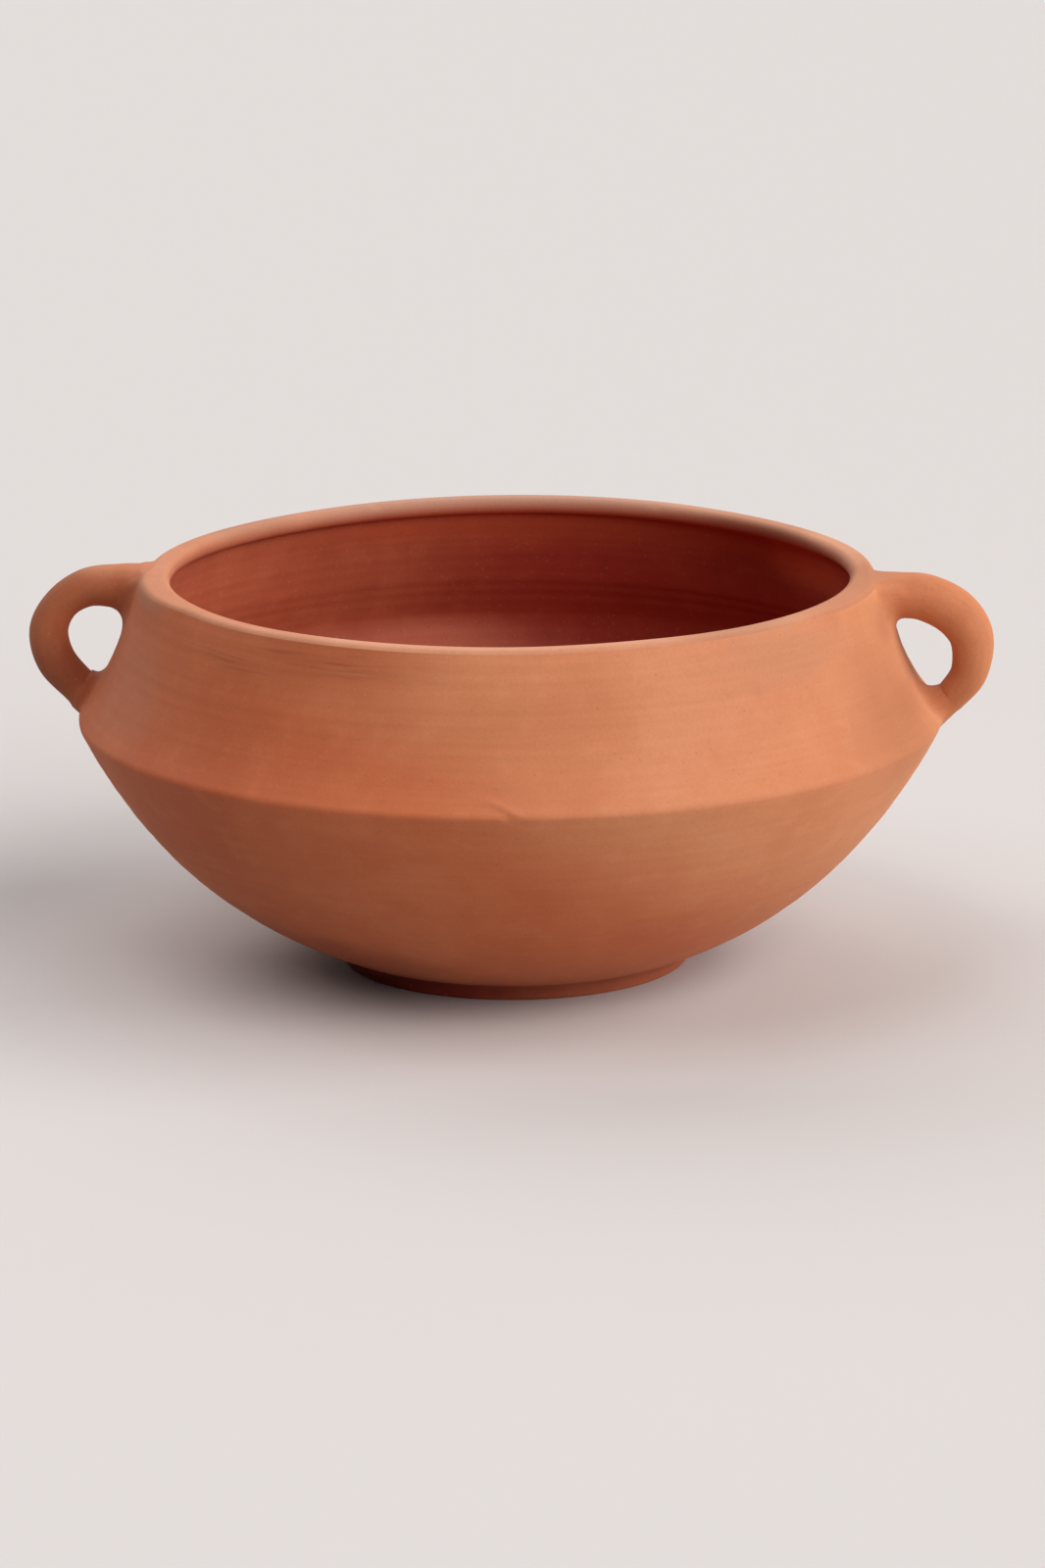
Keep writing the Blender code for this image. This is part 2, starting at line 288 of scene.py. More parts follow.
hand = {
    "oval": 0.14,               # mm out of round
    "ovalTurn": 0.6,
    "lobes": 0.07,
    "lobesTurn": 1.1,
    "lift": 0.12,               # mm up and down round the rim
    "liftTurn": 0.4,
    "growHeight": 60.0,         # mm up and out over which all this grows from nothing
    "growRadius": 40.0,
    "drift": 0.12,              # mm of slow bulges
    "driftSize": 45.0,
    "keelWander": 0.16,         # mm that the keel's line runs up and down
    "keelReach": 7.0,
    "keelWaves": 3.5,
    "spiral": 0.025,            # mm of the fine helical lines
    "spiralPitch": 4.6,
    "footShift": 1.2,           # mm that the foot stands to the right of the rim's middle
    "footShiftReach": 45.0,
    "shoulderShift": -0.55,     # mm that the shoulder leans to the left, and that it is drawn in
    "shoulderDraw": 0.28,
    "shoulderHeight": 103.0,
    "shoulderReach": 15.0,
    "fineSpot": (9, -148, 90),  # the mesh is finer round the crease here
    "fineReach": 13.0,
    "rimSmear": 2.4,            # mm that the rim is drawn out over the shoulder, by each handle
    "smearPlace": -34.0,
    "smearReach": 28.0,
    "smearAside": 70.0,         # nothing is drawn out nearer to the middle than this
    "smearBlend": 4.0,
    "smearFrom": 123.0,         # height where it starts, and how far it takes to grow
    "smearRise": 13.0,
    "smearDrop": 0.1,
    "marks": [                  # place, push, reach (one value, or one for each axis), all in mm
        # a fold of clay pressed flat just above the keel
        ((1.5, -146.2, 93.2), (0, -0.12, 0.10), 2.2),
        ((4.5, -146.9, 92.2), (0, -0.26, 0.20), 1.7),
        ((7.3, -147.5, 91.2), (0, -0.38, 0.26), 1.5),
        ((9.9, -148.2, 90.1), (0, -0.46, 0.30), 1.5),
        ((12.3, -148.8, 89.1), (0, -0.48, 0.30), 1.5),
        ((14.4, -149.2, 88.4), (0, -0.32, 0.20), 1.5),
        ((4.0, -147.4, 90.6), (0, 0.14, -0.10), 1.6),
        ((7.6, -148.4, 89.4), (0, 0.28, -0.16), 1.6),
        ((11.0, -149.2, 87.6), (0, 0.46, -0.06), 1.7),
        ((14.6, -149.6, 86.4), (0, 0.30, 0.02), 1.9),
        # nicks in the back of the rim
        ((-56.6, 104.6, 138.3), (0.02, 0.1, -0.50), 1.9),
        ((-59.8, 103.2, 138.4), (0, 0, 0.14), 1.6),
        ((44.1, 109.2, 138.2), (0, 0.1, -0.34), 1.8),
        ((47.0, 108.0, 138.3), (0, 0, 0.12), 1.5),
        # wall a little fuller behind the right loop
        ((138.5, -6, 112), (0.5, 0, 0), 9.0),
        ((146.0, -6, 97), (-0.35, 0, 0), 5.0),
        # rim dipping a little at the back, and at the front left
        ((92, 83, 138), (0, 0, -1.10), 55.0),
        ((-95, 80, 138), (0, 0, -0.70), 55.0),
        ((-82, -88, 138), (0, 0, -0.30), 30.0),
        ((50, -110, 138), (0, 0, 0.35), 30.0),
        # keel flattened under the left handle
        ((-150, -12, 84.5), (0.85, 0, 0), (8, 38, 4.5)),
        # clay smeared down from the right handle's root
        ((148.3, -9.2, 95.0), (0.05, -0.30, 0.05), 2.4),
        ((147.9, -10.6, 92.4), (0.05, -0.22, 0.05), 2.2),
    ],
}


def handShape(bm):
    marks = []
    for place, push, reach in hand["marks"]:
        reach = reach if isinstance(reach, tuple) else (reach, reach, reach)
        marks.append([Vector(v) * mm for v in (place, push, reach)])
    for vert in bm.verts:
        p = vert.co.copy()
        radius = math.hypot(p.x, p.y)
        if radius > 1e-6:
            outward = Vector((p.x / radius, p.y / radius, 0))
            angle = math.atan2(p.y, p.x)
            high = clamp(p.z / (hand["growHeight"] * mm))
            wave = hand["oval"] * math.cos(2 * angle - hand["ovalTurn"])
            wave += hand["lobes"] * math.cos(3 * angle + hand["lobesTurn"])
            turns = p.z / (hand["spiralPitch"] * mm) - angle / math.tau
            wave += hand["spiral"] * math.sin(math.tau * turns)
            drift = noise.noise(p / (hand["driftSize"] * mm)) * hand["drift"]
            rise = hand["lift"] * math.sin(2 * angle + hand["liftTurn"])
            keel = math.exp(-((p.z / mm - body["girthHeight"]) / hand["keelReach"]) ** 2)
            rise += keel * hand["keelWander"] * noise.noise(outward * hand["keelWaves"])
            share = min(1, radius / (hand["growRadius"] * mm)) * high
            vert.co += (outward * (wave + drift) + Vector((0, 0, rise))) * share * mm
            above = p.z / mm - hand["shoulderHeight"]
            shoulder = math.exp(-(above / hand["shoulderReach"]) ** 4)
            vert.co -= outward * shoulder * hand["shoulderDraw"] * mm
            vert.co.x += shoulder * hand["shoulderShift"] * mm
            if abs(p.x) > hand["smearAside"] * mm:
                smeared = math.exp(-((p.y / mm - hand["smearPlace"]) / hand["smearReach"]) ** 4)
                smeared *= clamp((radius / mm - rim["radius"]) / hand["smearBlend"])
                smeared *= clamp((p.z / mm - hand["smearFrom"]) / hand["smearRise"]) ** 2
                drawn = outward - Vector((0, 0, hand["smearDrop"]))
                vert.co += drawn * smeared * hand["rimSmear"] * mm
        low = max(0, 1 - p.z / (hand["footShiftReach"] * mm))
        vert.co.x += hand["footShift"] * mm * eased(low)
        for place, push, reach in marks:
            gap = Vector([(p[k] - place[k]) / reach[k] for k in range(3)]).length
            if gap < 3:
                vert.co += push * math.exp(-gap * gap)


def finishPiece(name, bm, material, node, sharp=35):
    bmesh.ops.recalc_face_normals(bm, faces=bm.faces)
    for face in bm.faces:
        face.smooth = True
    for edge in bm.edges:
        edge.smooth = edge.calc_face_angle(0) < math.radians(sharp)
    mesh = bpy.data.meshes.new(name)
    bm.to_mesh(mesh)
    bm.free()
    mesh.materials.append(material)
    piece = bpy.data.objects.new(name, mesh)
    bpy.context.scene.collection.objects.link(piece)
    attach(piece, "root")
    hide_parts(node)
    print(name, len(mesh.polygons), "faces")
    return piece


wedges = 16                     # a power of two


def spun(inner, outer, segments, closed=True, hold=0, blend=1):
    # one wedge is spun, then doubled till it goes all the way round
    bm = bmesh.new()
    # inside: 1 on the inside of the wall, 0 outside; it carries the inside's painted shade
    inside = bm.verts.layers.float.new("inside")
    corners = [bm.verts.new(point * mm) for point in inner + outer]
    for i, corner in enumerate(corners[:len(inner)]):
        corner[inside] = clamp((len(inner) - i - hold) / blend)
    for a, b in zip(corners, corners[1:]):
        bm.edges.new((a, b))
    if closed and corners[0].co.x + corners[-1].co.x > mm:
        bm.edges.new((corners[-1], corners[0]))
    turn = math.tau / wedges
    bmesh.ops.spin(bm, geom=bm.verts[:] + bm.edges[:], cent=(0, 0, 0), axis=(0, 0, 1),
                   dvec=(0, 0, 0), angle=turn, steps=segments // wedges, use_merge=False)
    while turn < math.pi * 1.01:
        copied = bmesh.ops.duplicate(bm, geom=bm.verts[:] + bm.edges[:] + bm.faces[:])["geom"]
        moved = [part for part in copied if isinstance(part, bmesh.types.BMVert)]
        bmesh.ops.rotate(bm, verts=moved, cent=(0, 0, 0), matrix=Matrix.Rotation(turn, 3, "Z"))
        turn *= 2
    bmesh.ops.remove_doubles(bm, verts=bm.verts, dist=mergeDistance)
    bmesh.ops.recalc_face_normals(bm, faces=bm.faces)
    spot, reach = Vector(hand["fineSpot"]) * mm, hand["fineReach"] * mm
    near = [e for e in bm.edges if all((v.co - spot).length < reach for v in e.verts)]
    bmesh.ops.subdivide_edges(bm, edges=near, cuts=2, use_grid_fill=True)
    handShape(bm)
    return bm


# Shader groups, shared by all the clays

def addNode(tree, kind, inputs=None, **settings):
    node = tree.nodes.new("ShaderNode" + kind)
    for key, value in settings.items():
        setattr(node, key, value)
    for key, value in (inputs or {}).items():
        if isinstance(value, bpy.types.NodeSocket):
            tree.links.new(value, node.inputs[key])
        else:
            node.inputs[key].default_value = value
    return node


def compute(tree, operation, *values):
    return addNode(tree, "Math", dict(enumerate(values)), operation=operation).outputs[0]


def computeVector(tree, operation, *values):
    return addNode(tree, "VectorMath", dict(enumerate(values)), operation=operation).outputs


def ramped(tree, value, low, high, toLow=0.0, toHigh=1.0):
    node = addNode(tree, "MapRange", {"Value": value, "From Min": low, "From Max": high,
                                      "To Min": toLow, "To Max": toHigh},
                   interpolation_type="SMOOTHSTEP")
    return node.outputs["Result"]


def mixColours(tree, factor, a, b):
    return addNode(tree, "Mix", {0: factor, 6: a, 7: b}, data_type="RGBA").outputs[2]


def newGroup(name, inputs, outputs):
    tree = bpy.data.node_groups.new(name, "ShaderNodeTree")
    for label, kind, value in inputs:
        kind = "NodeSocket" + kind
        socket = tree.interface.new_socket(label, in_out="INPUT", socket_type=kind)
        if value is not None:
            socket.default_value = value
    for label, kind in outputs:
        tree.interface.new_socket(label, in_out="OUTPUT", socket_type="NodeSocket" + kind)
    given = tree.nodes.new("NodeGroupInput").outputs
    return tree, given, tree.nodes.new("NodeGroupOutput").inputs


def useGroup(tree, group, inputs):
    return addNode(tree, "Group", inputs, node_tree=group).outputs


def makeFiredTone():
    # cloudy change of colour from the kiln, with finer mottling over it
    inputs = [("Vector", "Vector", None), ("Base", "Color", None), ("Pale", "Color", None),
              ("Deep", "Color", None), ("Clouds Per Metre", "Float", 14.0)]
    tree, given, result = newGroup("firedTone", inputs, [("Color", "Color")])
    size = given["Clouds Per Metre"]
    cloud = addNode(tree, "TexNoise", {"Vector": given["Vector"], "Scale": size, "Detail": 4.0,
                                       "Roughness": 0.55, "Distortion": 0.4}).outputs[0]
    shifted = computeVector(tree, "ADD", given["Vector"], (3.1, 1.7, 5.3))[0]
    fine = compute(tree, "MULTIPLY", size, 7.0)
    mottle = addNode(tree, "TexNoise", {"Vector": shifted, "Scale": fine, "Detail": 3.0,
                                        "Roughness": 0.6}).outputs[0]
    colour = given["Base"]
    for driver, full, most, tone in ((cloud, 0.68, 0.75, "Deep"), (cloud, 0.34, 0.70, "Pale"),
                                     (mottle, 0.72, 0.35, "Deep"), (mottle, 0.30, 0.35, "Pale")):
        mask = ramped(tree, driver, 0.50, full, 0.0, most)
        colour = mixColours(tree, mask, colour, given[tone])
    tree.links.new(colour, result["Color"])
    return tree


def makeTurningLines():
    # fine lines round the bowl's axis: direction, height and distance from the axis drive one noise
    inputs = [("Vector", "Vector", None), ("Lines Per Metre", "Float", 500.0),
              ("Wander", "Float", 3.0)]
    outputs = [("Lines", "Float"), ("Scores", "Float")]
    tree, given, result = newGroup("turningLines", inputs, outputs)
    flat = computeVector(tree, "MULTIPLY", given["Vector"], (1, 1, 0))[0]
    away = computeVector(tree, "LENGTH", flat)["Value"]
    around = computeVector(tree, "NORMALIZE", flat)[0]
    around = addNode(tree, "VectorMath", {0: around, "Scale": given["Wander"]},
                     operation="SCALE").outputs[0]
    height = addNode(tree, "SeparateXYZ", {0: given["Vector"]}).outputs["Z"]
    height = compute(tree, "MULTIPLY", height, given["Lines Per Metre"])
    raised = addNode(tree, "CombineXYZ", {"Z": height}).outputs[0]
    place = computeVector(tree, "ADD", around, raised)[0]
    away = compute(tree, "MULTIPLY", away, given["Lines Per Metre"])
    lines = addNode(tree, "TexNoise", {"Vector": place, "W": away, "Scale": 1.0, "Detail": 2.0,
                                       "Roughness": 0.5}, noise_dimensions="4D").outputs[0]
    tighter = computeVector(tree, "MULTIPLY", place, (1.7, 1.7, 1.4))[0]
    further = compute(tree, "MULTIPLY", away, 1.4)
    scores = addNode(tree, "TexNoise", {"Vector": tighter, "W": further, "Scale": 1.0,
                                        "Detail": 1.0}, noise_dimensions="4D").outputs[0]
    tree.links.new(lines, result["Lines"])
    tree.links.new(ramped(tree, scores, 0.52, 0.70), result["Scores"])
    return tree


def makeWipedStreaks():
    # the same for a coil: streaks run along it, from its own map
    inputs = [("Vector", "Vector", None), ("Round", "Float", 3.0), ("Along", "Float", 6.0)]
    outputs = [("Lines", "Float"), ("Scores", "Float")]
    tree, given, result = newGroup("wipedStreaks", inputs, outputs)
    place = addNode(tree, "SeparateXYZ", {0: given["Vector"]}).outputs
    turn = compute(tree, "MULTIPLY", place["X"], math.tau)
    across = compute(tree, "MULTIPLY", compute(tree, "COSINE", turn), given["Round"])
    over = compute(tree, "MULTIPLY", compute(tree, "SINE", turn), given["Round"])
    run = compute(tree, "MULTIPLY", place["Y"], given["Along"])
    spot = addNode(tree, "CombineXYZ", {"X": across, "Y": over, "Z": run}).outputs[0]
    lines = addNode(tree, "TexNoise", {"Vector": spot, "Scale": 1.0, "Detail": 3.0}).outputs[0]
    scores = addNode(tree, "TexNoise", {"Vector": spot, "Scale": 2.3, "Detail": 1.0}).outputs[0]
    tree.links.new(lines, result["Lines"])
    tree.links.new(ramped(tree, scores, 0.62, 0.74), result["Scores"])
    return tree


def makeSandGrain():
    # the body's sand: a fine tooth, single pale grains and pinholes
    inputs = [("Vector", "Vector", None), ("Grains Per Metre", "Float", 1100.0)]
    outputs = [("Tooth", "Float"), ("Sand", "Float"), ("Pinholes", "Float")]
    tree, given, result = newGroup("sandGrain", inputs, outputs)
    size = given["Grains Per Metre"]
    tooth = addNode(tree, "TexNoise", {"Vector": given["Vector"], "Scale": size, "Detail": 2.0,
                                       "Roughness": 0.65}).outputs[0]
    coarse = compute(tree, "MULTIPLY", size, 0.5)
    cells = addNode(tree, "TexVoronoi", {"Vector": given["Vector"], "Scale": coarse})
    chance = addNode(tree, "SeparateColor", {0: cells.outputs["Color"]}).outputs
    sand = compute(tree, "MULTIPLY", ramped(tree, cells.outputs["Distance"], 0.34, 0.16),
                   ramped(tree, chance[0], 0.70, 0.95))
    holes = compute(tree, "MULTIPLY", ramped(tree, cells.outputs["Distance"], 0.24, 0.10),
                    ramped(tree, chance[1], 0.86, 0.97))
    tree.links.new(tooth, result["Tooth"])
    tree.links.new(sand, result["Sand"])
    tree.links.new(holes, result["Pinholes"])
    return tree


def makeSoftPatch():
    # a cloud of colour at one place, with a ragged edge
    inputs = [("Vector", "Vector", None), ("Centre", "Vector", None),
              ("Reach", "Vector", (1, 1, 1)), ("Ragged", "Float", 0.5)]
    tree, given, result = newGroup("softPatch", inputs, [("Mask", "Float")])
    apart = computeVector(tree, "SUBTRACT", given["Vector"], given["Centre"])[0]
    apart = computeVector(tree, "DIVIDE", apart, given["Reach"])[0]
    apart = computeVector(tree, "LENGTH", apart)["Value"]
    edge = addNode(tree, "TexNoise", {"Vector": given["Vector"], "Scale": 55.0,
                                      "Detail": 4.0}).outputs[0]
    edge = compute(tree, "MULTIPLY", compute(tree, "SUBTRACT", edge, 0.5), given["Ragged"])
    tree.links.new(ramped(tree, compute(tree, "ADD", apart, edge), 1.0, 0.15), result["Mask"])
    return tree


def makeLightShadeRamp():
    # painted light and shade: the colour changes from one side to the other along a direction, with
    # a wandering border
    inputs = [("Vector", "Vector", None), ("Direction", "Vector", (1, 0, 0)),
              ("From", "Float", 0.0), ("To", "Float", 0.1), ("Ragged", "Float", 0.03)]
    tree, given, result = newGroup("lightShadeRamp", inputs, [("Mask", "Float")])
    across = computeVector(tree, "DOT_PRODUCT", given["Vector"], given["Direction"])["Value"]
    edge = addNode(tree, "TexNoise", {"Vector": given["Vector"], "Scale": 16.0,
                                      "Detail": 3.0}).outputs[0]
    edge = compute(tree, "MULTIPLY", compute(tree, "SUBTRACT", edge, 0.5), given["Ragged"])
    across = compute(tree, "ADD", across, edge)
    tree.links.new(ramped(tree, across, given["From"], given["To"]), result["Mask"])
    return tree


firedTone, turningLines, wipedStreaks = makeFiredTone(), makeTurningLines(), makeWipedStreaks()
sandGrain, softPatch, lightShadeRamp = makeSandGrain(), makeSoftPatch(), makeLightShadeRamp()
print("shader groups done")


# Finishes: one dictionary for each clay

bodyFinish = {
    # each tone is its base, pale and deep colour; the second is painted paler, as light, on the
    # right and high up, the first darker, as shade, on the left and low down
    "tones": (((0.665, 0.163, 0.052), (0.72, 0.205, 0.074), (0.61, 0.132, 0.040)),
              ((0.750, 0.281, 0.119), (0.79, 0.322, 0.148), (0.70, 0.240, 0.094))),
    "lightShadeSides": ((1, 0, 1.5), 92, 190),    # direction, and where the change from painted shade to painted light starts and ends (mm)
    # the inside is painted darker and redder than the outside, as shade
    "insideShadedTones": (((0.44, 0.082, 0.028), (0.51, 0.115, 0.045), (0.38, 0.060, 0.020)),
                    ((0.42, 0.034, 0.013), (0.49, 0.060, 0.024), (0.36, 0.020, 0.009))),
    # direction, and where the inside's painted shade deepens towards the right (mm)
    "insideShadeSides": ((1, 0, 0), -75, 25),
    "clouds": 14.0,                     # per metre
    "lines": (520.0, 3.0),              # per metre, and how soon they change round the bowl
    "lineShade": 0.055,
    "lineDepth": 0.025,                 # mm, as the next two
    "toothDepth": 0.022,
    "pinholeDepth": 0.04,
    "toothShade": 0.10,
    "sandShade": 0.12,
    "sandColour": (0.74, 0.40, 0.24),
    "scoreShade": 0.24,
    "scorePlace": ((-66, -106, 130), (66, 50, 9)),  # where the tool left scores, and reach
    "roughness": 0.76,
    "patches": [                        # centre, reach (mm), ragged edge, strength, colour
        # painted shade: darker low on the belly at the front left, near the foot
        ((-72, -52, 14), (80, 75, 32), 0.5, 0.75, (0.42, 0.085, 0.025)),
        # paler and greyer on the left shoulder, by the left loop's lower root
        ((-128, -62, 108), (34, 50, 30), 0.6, 0.30, (0.66, 0.26, 0.15)),
        # painted shade: darker at the right end of the shoulder, turned away from the light
        ((143, -52, 106), (38, 66, 46), 0.3, 0.90, (0.56, 0.190, 0.074)),
        # painted shade: darker just beneath the rim at the front left
        ((-52, -110, 135), (62, 50, 22), 0.4, 0.85, (0.55, 0.125, 0.038)),
        # painted light: paler, rim-like colour where the rim is drawn out over the left shoulder
        ((-122, -40, 137), (18, 44, 7), 0.3, 0.85, (0.60, 0.230, 0.115)),
        # painted shade: darker by the right loop's top root, at the corner of its hole
        ((135, -19, 127), (12, 20, 13), 0.3, 0.70, (0.48, 0.142, 0.053)),
        # painted shade: darker low on the belly at the front, near the foot
        ((-40, -80, 20), (45, 40, 14), 0.4, 0.50, (0.36, 0.060, 0.018)),
        # painted shade: darker on the wall behind the right loop, where the loop blocks the light
        ((138, 3, 110), (20, 20, 19), 0.2, 0.68, (0.36, 0.096, 0.034)),
        # painted shade: darker beside the right loop, low at the front
        ((140, -28, 100), (12, 24, 12), 0.3, 0.50, (0.52, 0.165, 0.062)),
        # darker just beneath the rim at the front right
        ((100, -84, 128), (48, 48, 14), 0.4, 0.80, (0.66, 0.262, 0.122)),
    ],
    "insidePatches": [
        # painted light: paler and pinker low on the back inside wall, which faces up
        ((-42, 134, 80), (66, 36, 13), 0.5, 0.90, (0.68, 0.185, 0.096)),
        # paler band high round the back inside wall
        ((20, 118, 130), (155, 72, 15), 0.4, 0.75, (0.64, 0.115, 0.040)),
        # painted light: paler high on the inside wall at the back right
        ((108, 72, 124), (42, 44, 15), 0.4, 0.95, (0.74, 0.150, 0.050)),
        # painted light: paler and redder on the inside wall at the right
        ((118, 10, 105), (30, 60, 30), 0.4, 0.75, (0.62, 0.066, 0.027)),
    ],
}
# the rim is painted paler than the wall, as sheen and light on its crest, and paler again on the
# right, where the light falls
rimFinish = dict(bodyFinish, lines=(420.0, 1.6), lineShade=0.06, lineDepth=0.02,
                 toothDepth=0.014, scoreShade=0.16,
                 tones=(((0.67, 0.255, 0.126), (0.72, 0.30, 0.160), (0.62, 0.21, 0.096)),
                        ((0.75, 0.330, 0.176), (0.80, 0.37, 0.210), (0.70, 0.29, 0.145))),
                 scorePlace=((-66, -106, 134), (66, 50, 9)),
                 # painted sheen: greyer crest along the back, seen at a grazing angle
                 patches=[((-20, 120, 138), (150, 75, 30), 0.4, 0.95, (0.59, 0.290, 0.187)),
                          # painted shade: darker at the right end of the rim
                          ((122, -46, 138), (34, 66, 30), 0.3, 0.90, (0.64, 0.228, 0.102)),
                          # painted shade: darker at the right loop's top root
                          ((124, 0, 138), (14, 44, 12), 0.3, 0.90, (0.575, 0.205, 0.088)),
                          # darker at the front right of the rim
                          ((84, -92, 138), (44, 44, 12), 0.3, 0.80, (0.60, 0.250, 0.125)),
                          # darker at the back left of the rim
                          ((-100, 66, 138), (32, 32, 9), 0.3, 0.70, (0.53, 0.230, 0.125)),
                          # painted shade: darker inner lip at the back right, facing away from the
                          # light
                          ((85, 84, 134.3), (62, 50, 4.5), 0.1, 0.90, (0.31, 0.090, 0.042))])
# the foot is painted very dark red on the left, as shade, and paler on the right, where the light
# falls
footFinish = dict(bodyFinish, lines=(620.0, 2.0), lineShade=0.12, scoreShade=0.12, patches=[],
                  scorePlace=((0, 0, 3), (900, 900, 9)),
                  tones=(((0.31, 0.022, 0.008), (0.37, 0.036, 0.013), (0.26, 0.014, 0.006)),
                         ((0.49, 0.112, 0.040), (0.55, 0.140, 0.053), (0.42, 0.084, 0.028))),
                  lightShadeSides=((1, 0, 0), -25, 35))
handleFinish = dict(bodyFinish, lines=(4.0, 7.0), lineShade=0.08, lineDepth=0.05, scoreShade=0.06,
                    # the left loop is painted darker, as shade, and the right loop paler, as light
                    tones=(((0.50, 0.136, 0.050), (0.56, 0.170, 0.068), (0.43, 0.105, 0.036)),
                           ((0.70, 0.235, 0.090), (0.74, 0.275, 0.112), (0.64, 0.195, 0.070))),
                    scorePlace=((0, 0, 110), (900, 900, 900)),
                    patches=[           # the roots take the colour of what they are smoothed onto; three patches on the loops themselves are noted below
                        # painted shade: darker low on the outside of the left loop
                        ((-152, 0, 102), (24, 30, 15), 0.3, 0.75, (0.36, 0.082, 0.026)),
                        ((-124, 0, 129), (20, 31, 22), 0.3, 0.95, (0.665, 0.165, 0.053)),
                        ((-118, 0, 141), (22, 32, 9), 0.3, 0.95, (0.67, 0.255, 0.126)),
                        # painted light: paler on top of the left loop, near its top root
                        ((-142, 0, 138), (16, 14, 6), 0.3, 0.60, (0.68, 0.270, 0.125)),
                        ((-144, 0, 89), (13, 30, 16), 0.3, 0.95, (0.66, 0.165, 0.053)),
                        # darker on the lower part of the right loop
                        ((150, 0, 101), (18, 30, 17), 0.3, 0.70, (0.50, 0.150, 0.053)),
                        ((124, 0, 129), (20, 28, 22), 0.3, 0.95, (0.63, 0.225, 0.092)),
                        ((118, 0, 141), (22, 32, 9), 0.3, 0.95, (0.60, 0.228, 0.110)),
                        ((144, 0, 89), (13, 24, 15), 0.3, 0.95, (0.64, 0.215, 0.084)),
                    ])
for finish in (footFinish, handleFinish):
    for unused in ("insideShadedTones", "insideShadeSides", "insidePatches"):
        del finish[unused]
rootEdge = (135.8, 137.4)       # heights (mm) between which a root goes from the wall to the rim


